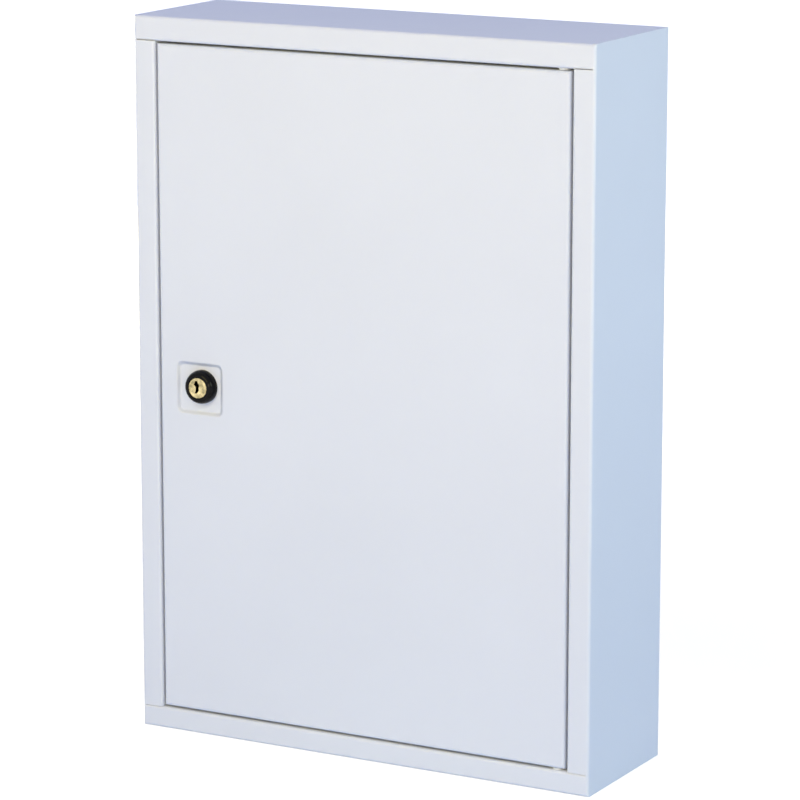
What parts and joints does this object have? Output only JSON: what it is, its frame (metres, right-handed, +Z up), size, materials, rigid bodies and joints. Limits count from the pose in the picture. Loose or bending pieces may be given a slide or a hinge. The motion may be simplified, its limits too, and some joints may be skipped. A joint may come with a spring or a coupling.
{
  "type": "lockable medicine cabinet",
  "caption": "Wall-hung steel medicine cabinet with an inset hinged door, shelves behind it and a cam lock in a square pressed dish.",
  "frame": {"origin": "centre of the underside of the cabinet", "axes": "+X to the right seen from the front, +Y from the front to the wall, +Z up"},
  "size_m": [0.32, 0.1053, 0.46],
  "materials": {
    "white_powder_coat": "satin powder coat over folded sheet steel",
    "zinc_steel": "zinc plated steel",
    "black_plastic": "glossy black bezel and barrel",
    "white_nylon": "moulded natural nylon",
    "rubber": "soft matt rubber",
    "brass": "polished brass"
  },
  "bodies": {
    "cabinet": {"back_panel": "white_powder_coat", "left_side": "white_powder_coat", "right_side": "white_powder_coat", "top_panel": "white_powder_coat", "bottom_panel": "white_powder_coat", "upper_shelf": "white_powder_coat", "lower_shelf": "white_powder_coat", "upper_ledge_left": "white_powder_coat", "upper_ledge_right": "white_powder_coat", "lower_ledge_left": "white_powder_coat", "lower_ledge_right": "white_powder_coat", "shelf_rivets": "zinc_steel", "upper_hinge_plate": "zinc_steel", "lower_hinge_plate": "zinc_steel", "upper_hinge_bush": "white_nylon", "lower_hinge_bush": "white_nylon", "strike_plate": "zinc_steel", "upper_door_stop": "white_powder_coat", "lower_door_stop": "white_powder_coat", "upper_stop_pad": "rubber", "lower_stop_pad": "rubber"},
    "door": {"door_panel": "white_powder_coat", "door_stiffener": "white_powder_coat", "upper_hinge_angle": "zinc_steel", "lower_hinge_angle": "zinc_steel", "upper_hinge_pin": "zinc_steel", "lower_hinge_pin": "zinc_steel", "lock_body": "black_plastic", "lock_washer": "zinc_steel", "lock_nut": "zinc_steel"},
    "lock_core": {"lock_plug": "brass", "lock_cam": "zinc_steel", "cam_washer": "zinc_steel", "cam_screw": "zinc_steel"}
  },
  "joints": [
    {"name": "door_hinge", "type": "hinge", "parent": "cabinet", "child": "door", "pos_m": [0.137, -0.0445, 0.23], "axis": [0, 0, 1], "range_deg": [0, 110]},
    {"name": "lock_turn", "type": "hinge", "parent": "door", "child": "lock_core", "pos_m": [-0.113, -0.05, 0.228], "axis": [0, 1, 0], "range_deg": [0, 90]}
  ]
}
